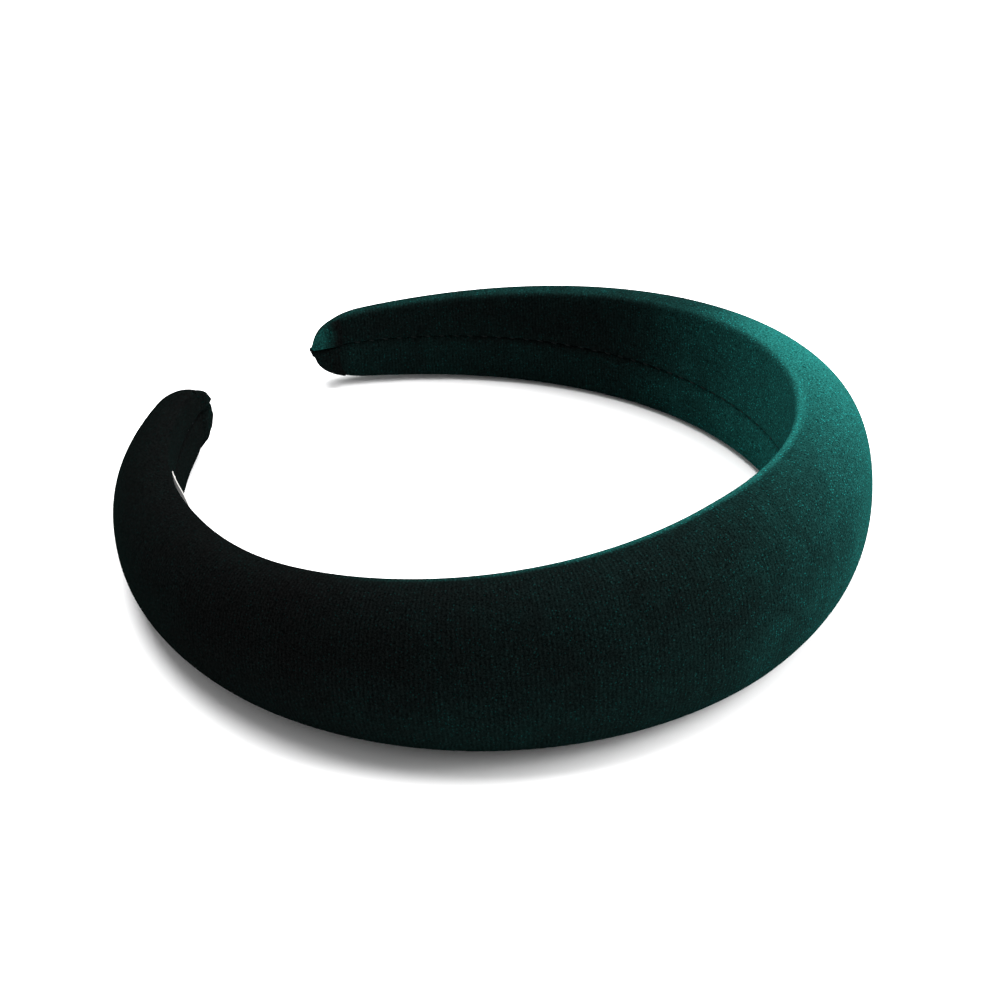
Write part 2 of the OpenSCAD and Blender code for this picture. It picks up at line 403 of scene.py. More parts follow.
def fill_ends(piece):
    """Close each open end of an unbent tube: one short step in, then a cap."""
    middle = sizes().arm_length
    for side in (-1, 1):
        only(piece)
        bpy.ops.object.mode_set(mode="EDIT")
        mesh = bmesh.from_edit_mesh(piece.data)
        for part in (*mesh.verts, *mesh.edges, *mesh.faces):
            part.select = False
        rim = [e for e in mesh.edges if e.is_boundary and (e.verts[0].co.x - middle) * side > 0]
        for edge in rim:
            edge.select_set(True)
        bmesh.update_edit_mesh(piece.data)
        centre = sum((e.verts[0].co for e in rim), Vector()) / len(rim)
        bpy.ops.mesh.extrude_region_move(
            TRANSFORM_OT_translate={"value": (side * CAP_STEP, 0, 0)})
        bpy.ops.transform.resize(value=(1, CAP_SHARE, CAP_SHARE), center_override=centre)
        bpy.ops.mesh.fill()
        bpy.ops.object.mode_set(mode="OBJECT")


def former_line():
    """The curve that the flat pieces are bent round, from the right tip to the left."""
    z = sizes()
    steps = 240
    step = z.arm_length / steps
    arm = [(0.0, 0.0)]
    for i in range(steps):
        a = turned((i + 0.5) / steps)
        arm.append((arm[-1][0] - step * math.sin(a), arm[-1][1] + step * math.cos(a)))
    points = [(x, -y) for x, y in arm[:0:-1]] + arm
    curve = bpy.data.curves.new("former_line", "CURVE")
    curve.dimensions = "3D"
    curve.twist_mode = "Z_UP"
    spline = curve.splines.new("POLY")
    spline.points.add(len(points) - 1)
    for point, (x, y) in zip(spline.points, points):
        point.co = (x, y, 0, 1)
    line = bpy.data.objects.new("former_line", curve)
    bpy.context.scene.collection.objects.link(line)
    return line


def flat_point(s, out, height):
    """A place on the unbent band: s is signed, positive on the left arm."""
    return np.stack([s + sizes().arm_length, -filled_in(s, out), height], -1)


def bend_and_lay(piece):
    """Bend an unbent piece round the former, and lay it down as the frame lies."""
    line = former_line()
    apply(piece, "bend", "CURVE", object=line, deform_axis="POS_X")
    curve = line.data
    bpy.data.objects.remove(line)
    bpy.data.curves.remove(curve)
    piece.data.transform(LAY_DOWN)
    close_up(piece, weld=0.000002)
    only(piece)
    bpy.ops.object.shade_smooth_by_angle(angle=math.radians(50))


def flexes(piece):
    """Bake the unbent piece's place into its points."""
    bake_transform(piece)


def clothe(piece, material):
    piece.data.materials.clear()
    piece.data.materials.append(material)


# How much closer the sections stand near the ends, and how many each swept piece has
END_CROWDING = 1.25
COVER_STEPS = 168
CORE_STEPS = 120
PAD_STEPS = 110


def arm_lengths(count, end):
    """Signed lengths from the right end to the left, closer together near the ends."""
    t = np.linspace(-1, 1, count + 1)
    return end * np.sign(t) * (1 - (1 - np.abs(t)) ** END_CROWDING)


def sweep(name, stations, profile):
    """A sheet rolled round the band: profile(s) gives heights and distances out."""
    first = profile(abs(stations[0]))
    piece = cloth_grid(name, len(stations) - 1, len(first[0]) - 1)
    co = points_of(piece)
    i = np.rint(co[:, 0] * (len(stations) - 1)).astype(int)
    j = np.rint(co[:, 1] * (len(first[0]) - 1)).astype(int)
    rings = [profile(abs(s)) for s in stations]
    height = np.array([r[0] for r in rings])
    out = np.array([r[1] for r in rings])
    girth = np.concatenate(
        [np.zeros((len(stations), 1)),
         np.cumsum(np.hypot(np.diff(height, axis=1), np.diff(out, axis=1)), axis=1)], axis=1)
    # Across the cloth, the UV map runs along the section's own girth
    real_size_uv(piece, np.stack([stations[i] + sizes().arm_length, girth[i, j]], -1))
    set_points(piece, flat_point(stations[i], out[i, j], height[i, j]))
    return piece


# ---------------------------------------------------------------- materials


def new_material(name):
    material = bpy.data.materials.new(name)
    material.use_nodes = True
    return material, material.node_tree, material.node_tree.nodes["Principled BSDF"]


def node(tree, kind, **settings):
    made = tree.nodes.new(kind)
    for key, value in settings.items():
        setattr(made, key, value)
    return made


def noise(tree, vector, scale, detail=2.0, roughness=0.5, distortion=0.0):
    made = node(tree, "ShaderNodeTexNoise")
    made.inputs["Scale"].default_value = scale
    made.inputs["Detail"].default_value = detail
    made.inputs["Roughness"].default_value = roughness
    made.inputs["Distortion"].default_value = distortion
    tree.links.new(vector, made.inputs["Vector"])
    return made.outputs["Fac"]


def spread(tree, value, low, high, to_low=0.0, to_high=1.0):
    """Map a value's range to another, held at both ends."""
    made = node(tree, "ShaderNodeMapRange", clamp=True)
    for key, number in zip(("From Min", "From Max", "To Min", "To Max"),
                           (low, high, to_low, to_high)):
        made.inputs[key].default_value = number
    tree.links.new(value, made.inputs["Value"])
    return made.outputs["Result"]


def calc(tree, a, b, how="ADD"):
    """One step of arithmetic on two values, each a number or a socket."""
    made = node(tree, "ShaderNodeMath", operation=how)
    for socket, value in zip(made.inputs, (a, b)):
        if isinstance(value, (int, float)):
            socket.default_value = value
        else:
            tree.links.new(value, socket)
    return made.outputs[0]


def mix_colour(tree, factor, a, b, how="MIX"):
    """Mix two colours. Sockets 0, 6 and 7 are the factor and both colours, 2 the result."""
    made = node(tree, "ShaderNodeMix", data_type="RGBA", blend_type=how)
    for socket, value in zip((made.inputs[0], made.inputs[6], made.inputs[7]), (factor, a, b)):
        if hasattr(value, "is_linked"):
            tree.links.new(value, socket)
        elif isinstance(value, (int, float)):
            socket.default_value = value
        else:
            socket.default_value = (*value, 1)
    return made.outputs[2]


def bump(tree, shader, height, distance, strength=1.0):
    made = node(tree, "ShaderNodeBump")
    made.inputs["Distance"].default_value = distance
    made.inputs["Strength"].default_value = strength
    tree.links.new(height, made.inputs["Height"])
    tree.links.new(made.outputs["Normal"], shader.inputs["Normal"])


def ribs(tree, uv, pitch, turn=0.0, wander=0.0):
    """Fine ribs across the cloth's length, 0 in each groove and 1 on each rib."""
    turned_uv = node(tree, "ShaderNodeMapping")
    turned_uv.inputs["Rotation"].default_value[2] = turn
    tree.links.new(uv, turned_uv.inputs["Vector"])
    made = node(tree, "ShaderNodeTexWave", wave_type="BANDS", bands_direction="X",
                wave_profile="SIN")
    made.inputs["Scale"].default_value = 2 * math.pi / (20 * pitch)
    made.inputs["Distortion"].default_value = wander
    made.inputs["Detail"].default_value = 1.0
    made.inputs["Detail Scale"].default_value = 1.5
    tree.links.new(turned_uv.outputs[0], made.inputs["Vector"])
    return made.outputs["Fac"]


# Colour of the painted glints on the velvet
PAINTED_GLINT_COLOUR = (0.012, 0.29, 0.27)
SEAM_THREAD_COLOUR = (0.0012, 0.0034, 0.0034)
LABEL_THREAD_COLOUR = (0.56, 0.55, 0.51)


def velvet_material():
    """Knitted velvet: near black, with painted light and painted glints that turn it green where
    the light falls.
    """
    look = looks()
    material, tree, shader = new_material("knitted_velvet")
    uv = node(tree, "ShaderNodeUVMap", uv_map="cloth").outputs["UV"]
    place = node(tree, "ShaderNodeTexCoord").outputs["Object"]
    brushed = noise(tree, place, 110, detail=4, roughness=0.6, distortion=0.8)
    tufts = noise(tree, place, 3000, detail=3, roughness=0.7)
    glints = node(tree, "ShaderNodeTexVoronoi")
    glints.inputs["Scale"].default_value = 2400
    tree.links.new(place, glints.inputs["Vector"])
    chance = node(tree, "ShaderNodeSeparateColor")
    tree.links.new(glints.outputs["Color"], chance.inputs[0])
    rib = ribs(tree, uv, look.rib_pitch, wander=1.6)
    # The painted light and shade stored at each point of the velvet
    paint_level = node(tree, "ShaderNodeAttribute", attribute_name="painted_light_and_shade").outputs["Fac"]
    # Patches brushed the other way show most where the painted light is weak
    patches = spread(tree, brushed, 0.36, 0.68, 0.74, 1.26)
    even = spread(tree, paint_level, 0.12, 0.5, 1, 0.22)
    uneven = calc(tree, calc(tree, calc(tree, patches, 1, "SUBTRACT"), even, "MULTIPLY"), 1)
    paint_level = calc(tree, calc(tree, paint_level, uneven, "MULTIPLY"),
                  spread(tree, brushed, 0.42, 0.75, 0.0, 0.006))
    # Painted light: the share of painted light turns the near-black ground towards the painted lit
    # colour
    cloth = mix_colour(tree, spread(tree, paint_level, 0, 1), look.ground, look.painted_lit_velvet)
    # The ribs show where the painted light is weak, and the grain where it is strong
    depth = spread(tree, paint_level, 0.03, 0.30, 0.38, 0.05)
    ribbed = calc(tree, calc(tree, calc(tree, rib, 0.5, "SUBTRACT"), depth, "MULTIPLY"), 1)
    shade = calc(tree, spread(tree, tufts, 0.34, 0.66, 0.25, 1.9), ribbed, "MULTIPLY")
    grey = node(tree, "ShaderNodeCombineColor")
    for socket in grey.inputs:
        tree.links.new(shade, socket)
    cloth = mix_colour(tree, 1.0, cloth, grey.outputs[0], "MULTIPLY")
    # Painted glints: about one fibre end in three is painted as catching the light, more where the
    # painted light is strong
    glint_paint = calc(tree, spread(tree, chance.outputs[0], 0.68, 1.0),
                    spread(tree, glints.outputs["Distance"], 0.15, 0.42, 1, 0), "MULTIPLY")
    glint_paint = calc(tree, glint_paint, spread(tree, paint_level, 0.0, 0.5, 0.02, 0.7), "MULTIPLY")
    cloth = mix_colour(tree, glint_paint, cloth, PAINTED_GLINT_COLOUR)
    tree.links.new(cloth, shader.inputs["Base Color"])
    tree.links.new(spread(tree, tufts, 0.3, 0.7, 0.95, 0.62), shader.inputs["Roughness"])
    shader.inputs["Specular IOR Level"].default_value = 0.0
    shader.inputs["Sheen Weight"].default_value = 0.009
    shader.inputs["Sheen Roughness"].default_value = 0.34
    shader.inputs["Sheen Tint"].default_value = (*look.sheen, 1)
    relief = calc(tree, calc(tree, rib, 0.2, "MULTIPLY"), tufts)
    bump(tree, shader, relief, 0.00016, 0.75)
    return material


def foam_material():
    """Open-cell sponge, with painted shade in its pores."""
    material, tree, shader = new_material("sponge")
    place = node(tree, "ShaderNodeTexCoord").outputs["Object"]
    cells = node(tree, "ShaderNodeTexVoronoi", feature="DISTANCE_TO_EDGE")
    cells.inputs["Scale"].default_value = 1100
    tree.links.new(place, cells.inputs["Vector"])
    # Painted shade: the middle of each cell is darker than its walls
    walls = spread(tree, cells.outputs["Distance"], 0.02, 0.32, 1, 0)
    dark = [c * 0.45 for c in looks().foam]
    tree.links.new(mix_colour(tree, walls, dark, looks().foam), shader.inputs["Base Color"])
    shader.inputs["Roughness"].default_value = 0.95
    bump(tree, shader, walls, 0.0003)
    return material


def core_material():
    """Moulded plastic with a fine spark-eroded grain."""
    material, tree, shader = new_material("moulded_core")
    place = node(tree, "ShaderNodeTexCoord").outputs["Object"]
    grain = noise(tree, place, 2400, detail=3)
    flow = noise(tree, place, 60, detail=2, distortion=1.0)
    light = [c * 1.7 for c in looks().core]
    tree.links.new(mix_colour(tree, flow, looks().core, light), shader.inputs["Base Color"])
    tree.links.new(spread(tree, flow, 0.3, 0.7, 0.38, 0.52), shader.inputs["Roughness"])
    bump(tree, shader, grain, 0.00004, 0.5)
    return material


def thread_material(name, colour):
    """Twisted spun thread."""
    material, tree, shader = new_material(name)
    place = node(tree, "ShaderNodeTexCoord").outputs["Object"]
    twist = noise(tree, place, 4200, detail=2, distortion=2.0)
    dark = [c * 0.5 for c in colour]
    tree.links.new(mix_colour(tree, twist, dark, colour), shader.inputs["Base Color"])
    shader.inputs["Roughness"].default_value = 0.85
    shader.inputs["Specular IOR Level"].default_value = 0.15
    bump(tree, shader, twist, 0.00005)
    return material


def satin_material():
    """Blank woven satin: long floats one way, with a soft shine."""
    look = looks()
    material, tree, shader = new_material("satin")
    uv = node(tree, "ShaderNodeUVMap", uv_map="cloth").outputs["UV"]
    warp = ribs(tree, uv, 0.00022)
    weft = ribs(tree, uv, 0.0004, turn=math.radians(90))
    weave = calc(tree, calc(tree, warp, 0.7, "MULTIPLY"),
                   calc(tree, weft, 0.3, "MULTIPLY"))
    dark = [c * 0.72 for c in look.satin]
    tree.links.new(mix_colour(tree, weave, dark, look.satin), shader.inputs["Base Color"])
    tree.links.new(spread(tree, weave, 0, 1, 0.45, 0.3), shader.inputs["Roughness"])
    shader.inputs["Sheen Weight"].default_value = 0.25
    bump(tree, shader, weave, 0.00004, 0.6)
    return material


# ---------------------------------------------------------------- the velvet sleeve


# Points round the sleeve's section: over the dome, and for each lip in the ditch,
# across the flat and round the rim
DOME_POINTS = 47
DITCH_POINTS = 6
FLAT_POINTS = 12
RIM_POINTS = 7

# How far the flat of each lip stands off the head side, towards the head
LIP_PUFF = 0.00022

# Where the gathers at each tip start, how deep they are and how many waves make them
GATHER_REACH = 0.016
GATHER_DEPTH = 0.00009
GATHER_WAVES = 5

# How far the pressure may move the velvet, and for how many frames it acts
SWELL_LIMIT = 0.0006
SWELL_FRAMES = 16


def cover_profile(s):
    """Once round the sleeve, from the seam up over the rim, round the dome and back."""
    z = sizes()
    half = flat_width(s) / 2
    seam = seam_height(s)
    rim = min(z.rim_radius, 0.25 * thickness_at(s), 0.5 * half)
    foot = dome_foot(s, 0, 0, rim)
    top = dome(s, 0, 0, np.linspace(foot, math.pi - foot, DOME_POINTS))
    # Two rolled edges of velvet meet at the bottom of the ditch
    across = np.linspace(0, 1, DITCH_POINTS) ** 1.4
    ditch = np.stack([across * z.ditch_width / 2,
                      z.ditch_depth * (1 - np.sqrt(1 - (1 - across) ** 2))])
    lips = []
    for side in (1, -1):
        corner = half - rim * 1.1
        shore = seam + side * z.ditch_width / 2
        t = np.linspace(0, 1, FLAT_POINTS)[1:]
        flat_h = shore + t * (side * corner - shore)
        puff = -LIP_PUFF * np.sin(math.pi * t)
        r = np.linspace(0, 1, RIM_POINTS)[1:-1]
        end_h, end_o = (top[0][0], top[1][0]) if side > 0 else (top[0][-1], top[1][-1])
        turn_h = (1 - r) ** 2 * side * corner + 2 * r * (1 - r) * side * half + r**2 * end_h
        turn_o = r**2 * end_o
        lips.append((np.concatenate([seam + side * ditch[0], flat_h, turn_h]),
                     np.concatenate([ditch[1], puff, turn_o])))
    height = np.concatenate([lips[0][0], top[0], lips[1][0][::-1]])
    out = np.concatenate([lips[0][1], top[1], lips[1][1][::-1]])
    return height, out


def gathers(co, s, seed):
    """Small uneven puckers where the velvet is drawn in at each tip."""
    z = sizes()
    rng = np.random.default_rng(seed)
    near = np.clip((np.abs(s) - z.arm_length + GATHER_REACH) / GATHER_REACH, 0, 1) ** 1.5
    wave = np.zeros(len(co))
    for _ in range(GATHER_WAVES):
        pitch = rng.uniform(0.0022, 0.0050)
        slope = rng.uniform(-0.5, 0.5)
        phase = rng.uniform(0, 2 * math.pi)
        wave += np.sin(2 * math.pi * (co[:, 2] + slope * co[:, 0]) / pitch + phase)
    return near * wave * GATHER_DEPTH


def puff_up(piece, stays, limit):
    """Let the velvet swell over its pad as cloth under pressure, within the limit."""
    only(piece)
    bpy.ops.object.duplicate()
    trial = bpy.context.object
    group = trial.vertex_groups.new(name="stays")
    for index, weight in enumerate(stays):
        if weight > 0.001:
            group.add([index], float(weight), "REPLACE")
    cloth = trial.modifiers.new("cloth", "CLOTH")
    cloth.settings.quality = 5
    cloth.settings.mass = 0.2
    cloth.settings.tension_stiffness = 15
    cloth.settings.compression_stiffness = 8
    cloth.settings.shear_stiffness = 8
    cloth.settings.bending_stiffness = 0.3
    cloth.settings.use_pressure = True
    cloth.settings.uniform_pressure_force = 4
    cloth.settings.vertex_group_mass = "stays"
    cloth.settings.pin_stiffness = 1
    cloth.settings.effector_weights.gravity = 0
    cloth.collision_settings.use_collision = False
    cloth.collision_settings.use_self_collision = False
    scene = bpy.context.scene
    for moment in range(1, SWELL_FRAMES + 1):
        scene.frame_set(moment)
    swollen = trial.evaluated_get(bpy.context.evaluated_depsgraph_get())
    rest = points_of(piece)
    co = np.empty(len(rest) * 3)
    swollen.data.vertices.foreach_get("co", co)
    move = co.reshape(-1, 3) - rest
    scene.frame_set(1)
    mesh = trial.data
    bpy.data.objects.remove(trial)
    bpy.data.meshes.remove(mesh)
    far = np.linalg.norm(move, axis=1)
    keep = limit * np.tanh(far / limit) / np.maximum(far, 1e-9) * (1 - stays)
    set_points(piece, rest + move * keep[:, None])


class HEADBAND_OT_velvet_cover(Operator):
    """Wrap the flat velvet round the pad and core, close its ends, and let it swell"""

    bl_idname = "headband.velvet_cover"
    bl_label = "Velvet Cover"

    def execute(self, context):
        z = sizes()
        stations = arm_lengths(COVER_STEPS, z.arm_length)
        cover = sweep("velvet_cover", stations, cover_profile)
        co = points_of(cover)
        s = co[:, 0] - z.arm_length
        # Puckers stand along the outward direction, and the seam itself stays put
        on_top = np.clip(-co[:, 1] / 0.002, 0, 1)
        co[:, 1] -= gathers(co, s, 11) * on_top
        set_points(cover, co)
        close_up(cover)
        fill_ends(cover)
        close_up(cover)
        co = points_of(cover)
        s = co[:, 0] - z.arm_length
        out = -co[:, 1] - filled_in(s, np.zeros(len(s)))
        # Paint light and shade into the velvet: dark on the right arm and the head side, lit past
        # the crown
        store_painted_tone(cover, painted_light_and_shade(s, out, co[:, 2]))
        s = np.abs(s)
        inner = 1 - np.clip((out - 0.0010) / 0.004, 0, 1)
        at_tip = np.clip((s - z.arm_length + 0.014) / 0.010, 0, 1)
        stays = np.maximum(inner, at_tip)
        puff_up(cover, stays, SWELL_LIMIT)
        apply(cover, "finer", "SUBSURF", levels=1, render_levels=1)
        flexes(cover)
        bend_and_lay(cover)
        clothe(cover, velvet_material())
        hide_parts("velvet_cover_left", "velvet_cover_right")
        return {"FINISHED"}


# ---------------------------------------------------------------- tip folds


def fold_lip(name, arm, side):
    """One lip of velvet, turned over the tip and pressed onto the head side."""
    z = sizes()
    lip = cloth_grid(name, 30, 18)
    co = points_of(lip)
    u, v = co[:, 0], co[:, 1]
    rng = np.random.default_rng(7 + 2 * side + arm)
    # A cut edge that wanders a little, then on past the end of the tip
    cut = 0.00018 * np.sin(v * 9 + rng.uniform(0, 6)) + 0.0001 * np.sin(v * 31 + rng.uniform(0, 6))
    reach = z.fold_length + 0.0007
    s = z.arm_length - z.fold_length + cut * (1 - u) + reach * u
    along = np.clip(s, 0, z.arm_length)
    half = flat_width(along) / 2
    nose = 1 - np.clip((s - z.arm_length) / 0.0010, 0, 1) * 0.5
    seam = seam_height(along)
    # The lips stand out furthest where they meet at the seam
    s = s + 0.0005 * u**2 * (1 - v)
    inner = seam + side * 0.00010
    outer = side * (half + 0.0002) * nose
    w = np.abs(outer - inner)
    height = inner + (outer - inner) * v
    girth = np.minimum(v, 1 - v) * w
    plump = np.sqrt(np.clip(1 - (1 - np.clip(girth / 0.0013, 0, 1)) ** 2, 0, 1))
    edge = 0.30 + 0.70 * ease(s, z.arm_length - z.fold_length, z.arm_length - z.fold_length + 0.003)
    end = np.sqrt(np.clip(1 - np.clip((s - z.arm_length + 0.0016) / 0.0024, 0, 1) ** 2, 0, 1))
    pucker = 1 + 0.10 * np.sin(height * 2600 + rng.uniform(0, 6)) * u
    pucker += 0.07 * np.sin(s * 1900 + rng.uniform(0, 6))
    out = 0.0004 - (z.fold_thickness + 0.0004) * plump * edge * end * pucker
    real_size_uv(lip, np.stack([s, height], -1))
    set_points(lip, flat_point(arm * s, out, height))
    # Painted light: the left tip's upper lip is painted lighter towards its nose
    lip_light_paint = 0.34 * ease(u, 0.15, 0.75) if arm > 0 and side > 0 else 0.02 * u
    store_painted_tone(lip, lip_light_paint + 0.004)
    return lip


class HEADBAND_OT_tip_folds(Operator):
    """Turn the velvet over each tip in two lips that meet at the seam"""

    bl_idname = "headband.tip_folds"
    bl_label = "Tip Folds"

    def execute(self, context):
        z = sizes()
        material = bpy.data.materials.get("knitted_velvet") or velvet_material()
        for arm, body, side_name in ((1, LEFT, "left"), (-1, RIGHT, "right")):
            lips = [fold_lip("fold_lip", arm, side) for side in (1, -1)]
            only(lips[0])
            lips[1].select_set(True)
            bpy.ops.object.join()
            fold = bpy.context.object
            fold.name = "velvet_fold_" + side_name
            bpy.ops.object.mode_set(mode="EDIT")
            bpy.ops.mesh.select_all(action="SELECT")
            bpy.ops.mesh.normals_make_consistent(inside=False)
            bpy.ops.object.mode_set(mode="OBJECT")
            face_inward(fold)
            apply(fold, "cloth", "SOLIDIFY", thickness=0.0005, offset=-1)
            apply(fold, "finer", "SUBSURF", levels=1, render_levels=1)
            bend_and_lay(fold)
            clothe(fold, material)
            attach(fold, body)
            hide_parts("tip_fold_" + side_name)
        return {"FINISHED"}


def face_inward(piece):
    """Turn the piece's faces over if most of them look away from the head."""
    mesh = piece.data
    facing = sum(p.normal.y * p.area for p in mesh.polygons)
    if facing < 0:
        only(piece)
        bpy.ops.object.mode_set(mode="EDIT")
        bpy.ops.mesh.select_all(action="SELECT")
        bpy.ops.mesh.flip_normals()
        bpy.ops.object.mode_set(mode="OBJECT")


# ---------------------------------------------------------------- core and pad


class HEADBAND_OT_band_core(Operator):
    """Cut the moulded core as a tapered strip, round its edges, and bend it"""

    bl_idname = "headband.band_core"
    bl_label = "Band Core"

    def execute(self, context):
        z = sizes()
        end = z.arm_length - CORE_SETBACK
        stations = arm_lengths(CORE_STEPS, end)
        core = cloth_grid("headband_core", len(stations) - 1, 6)
        co = points_of(core)
        s = stations[np.rint(co[:, 0] * (len(stations) - 1)).astype(int)]
        low = z.velvet + LAYER_GAP
        wide = flat_width(np.abs(s), low)
        set_points(core, flat_point(s, np.full(len(s), low), (co[:, 1] - 0.5) * wide))
        apply(core, "deep", "SOLIDIFY", thickness=z.core_thickness, offset=0)
        co = points_of(core)
        co[:, 1] -= z.core_thickness / 2
        set_points(core, co)
        close_up(core)
        apply(core, "round_edges", "BEVEL", width=0.0007, segments=3, limit_method="ANGLE",
              angle_limit=math.radians(50))
        flexes(core)
        bend_and_lay(core)
        clothe(core, core_material())
        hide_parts("band_core_left", "band_core_right")
        return {"FINISHED"}


class HEADBAND_OT_foam_pad(Operator):
    """Shape the sponge pad to the sleeve's dome and lay it on the core"""

    bl_idname = "headband.foam_pad"
    bl_label = "Foam Pad"

    def execute(self, context):
        z = sizes()
        end = z.arm_length - PAD_SETBACK
        inset = z.velvet + PAD_SIDE_GAP
        low = z.velvet + LAYER_GAP
        seat = low + z.core_thickness + LAYER_GAP

        def pad_profile(s):
            foot = dome_foot(s, inset, low, seat - low)
            height, out = dome(s, inset, low, np.linspace(foot, math.pi - foot, 27))
            base = np.linspace(height[-1], height[0], 10)[1:]
            return (np.concatenate([height, base]),
                    np.concatenate([out, np.full(len(base), out[0])]))

        pad = sweep("sponge_pad", arm_lengths(PAD_STEPS, end), pad_profile)
        close_up(pad)
        fill_ends(pad)
        close_up(pad)
        flexes(pad)
        bend_and_lay(pad)
        clothe(pad, foam_material())
        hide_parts("foam_pad_left", "foam_pad_right")
        return {"FINISHED"}


# ---------------------------------------------------------------- threads


# Length of one stitch of each kind, and half of how far it reaches along and across
SEAM_STITCH = 0.0014
SEAM_STITCH_SLANT = (0.0006, 0.00018)
LABEL_STITCH = 0.0018
LABEL_STITCH_SLANT = (0.0007, 0.0001)

# How far the seam's stitches stop short of the fold, and how far they lie up in the ditch
SEAM_STOP = 0.0018
THREAD_LIFT = 0.00016

# How far off the head side the label's stitches and the label lie, and the curl of its edges
LABEL_STITCH_LIFT = 0.00052
LABEL_LIFT = 0.00030
LABEL_CURL = 0.00025


def thread_stitch(name, length, radius):
    """One short stitch: a round bar with domed ends, lying along x."""
    deselect()
    bpy.ops.mesh.primitive_uv_sphere_add(segments=8, ring_count=6, radius=radius)
    stitch = bpy.context.object
    stitch.name = name
    co = points_of(stitch)
    co = np.stack([co[:, 2] + np.sign(np.round(co[:, 2], 7)) * (length / 2 - radius),
                   co[:, 1], co[:, 0]], -1)
    set_points(stitch, co)
    close_up(stitch)
    return stitch


def sew(stitch, places, name):
    """Copy one stitch to every place, turned along it, and join them."""
    made = []
    shape = points_of(stitch)
    for start, finish in places:
        only(stitch)
        bpy.ops.object.duplicate(linked=False)
        one = bpy.context.object
        ends = Vector(finish) - Vector(start)
        turn = np.array(Vector((1, 0, 0)).rotation_difference(ends).to_matrix())
        middle = (np.array(start) + np.array(finish)) / 2
        set_points(one, shape @ turn.T + middle)
        made.append(one)
    bpy.data.objects.remove(stitch)
    deselect()
    for one in made:
        one.select_set(True)
    bpy.context.view_layer.objects.active = made[0]
    bpy.ops.object.join()
    sewn = bpy.context.object
    sewn.name = name
    return sewn


class HEADBAND_OT_seam_thread(Operator):
    """Sew the two edges of the velvet together along the ditch with slanted stitches"""

    bl_idname = "headband.seam_thread"
    bl_label = "Seam Thread"

    def execute(self, context):
        z = sizes()
        end = z.arm_length - z.fold_length - SEAM_STOP
        count = int(2 * end / z.stitch_pitch)
        pitch = 2 * end / count
        along, across = SEAM_STITCH_SLANT
        places = []
        for i in range(count):
            s = -end + pitch * (i + 0.5)
            seam = float(seam_height(abs(s)))
            depth = z.ditch_depth - THREAD_LIFT
            places.append(
                (tuple(flat_point(np.float64(s - along), np.float64(depth), seam - across)),
                 tuple(flat_point(np.float64(s + along), np.float64(depth), seam + across))))
        stitch = thread_stitch("stitch", SEAM_STITCH, z.thread / 2)
        thread = sew(stitch, places, "seam_stitches")
        flexes(thread)
        bend_and_lay(thread)
        clothe(thread, thread_material("seam_thread", SEAM_THREAD_COLOUR))
        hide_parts("seam_thread_left", "seam_thread_right")
        return {"FINISHED"}


# ---------------------------------------------------------------- the label


def label_bow_at(u):
    return sizes().label_bow * np.sin(math.pi * u) ** 2


class HEADBAND_OT_care_label(Operator):
    """Sew a blank satin label across the right arm, bowed off the velvet"""

    bl_idname = "headband.care_label"
    bl_label = "Care Label"

    def execute(self, context):
        z = sizes()
        label = cloth_grid("satin_label", 48, 20)
        co = points_of(label)
        u, v = co[:, 0], co[:, 1]
        end = z.arm_length - z.label_setback
        s = end - z.label_length * (1 - u)
        height = z.label_rise + (v - 0.5) * z.label_width
        curl = LABEL_CURL * np.sin(math.pi * u) * (2 * v - 1) ** 2
        out = -LABEL_LIFT - label_bow_at(u) - curl
        real_size_uv(label, np.stack([u * z.label_length, v * z.label_width], -1))
        set_points(label, flat_point(-s, out, height))
        face_inward(label)
        apply(label, "satin", "SOLIDIFY", thickness=0.00018, offset=0)
        bend_and_lay(label)
        clothe(label, satin_material())
        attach(label, RIGHT)
        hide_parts("care_label")
        return {"FINISHED"}


class HEADBAND_OT_label_stitches(Operator):
    """Sew each end of the label down"""

    bl_idname = "headband.label_stitches"
    bl_label = "Label Stitches"

    def execute(self, context):
        z = sizes()
        start = z.arm_length - z.label_setback - z.label_length
        pitch = z.label_width / z.label_stitches
        along, across = LABEL_STITCH_SLANT
        out = -LABEL_STITCH_LIFT
        places = []
        for s in (start, start + z.label_length):
            for i in range(z.label_stitches):
                height = z.label_rise - z.label_width / 2 + pitch * (i + 0.5)
                places.append(
                    (tuple(flat_point(np.float64(-s - along), out, height - across)),
                     tuple(flat_point(np.float64(-s + along), out, height + across))))
        stitch = thread_stitch("stitch", LABEL_STITCH, z.thread / 2)
        stitches = sew(stitch, places, "label_thread")
        bend_and_lay(stitches)
        clothe(stitches, thread_material("label_thread", LABEL_THREAD_COLOUR))
        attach(stitches, RIGHT)
        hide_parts("label_stitching")
        return {"FINISHED"}


# ---------------------------------------------------------------- stage


# The fitted camera: how far round and up it stands, its distance, its shift and its lens
CAMERA_AROUND = 45.185
CAMERA_ABOVE = 33.134
CAMERA_AIM = (0, 0, 0.018)
CAMERA_DISTANCE = 0.5311
CAMERA_RIGHT = 0.002108
CAMERA_DOWN = 0.006067
CAMERA_LENS = 93.39

WORLD_LIGHT = 0.52

# The floor lies this far below the band, so that the two never share a face
FLOOR_DROP = 0.00015


def soft_light(name, place, target, size, power):
    deselect()
    bpy.ops.object.light_add(type="AREA", location=place)
    lamp = bpy.context.object
    lamp.name = name
    lamp.data.size = size
    lamp.data.energy = power
    lamp.rotation_euler = (Vector(target) - Vector(place)).to_track_quat("-Z", "Y").to_euler()


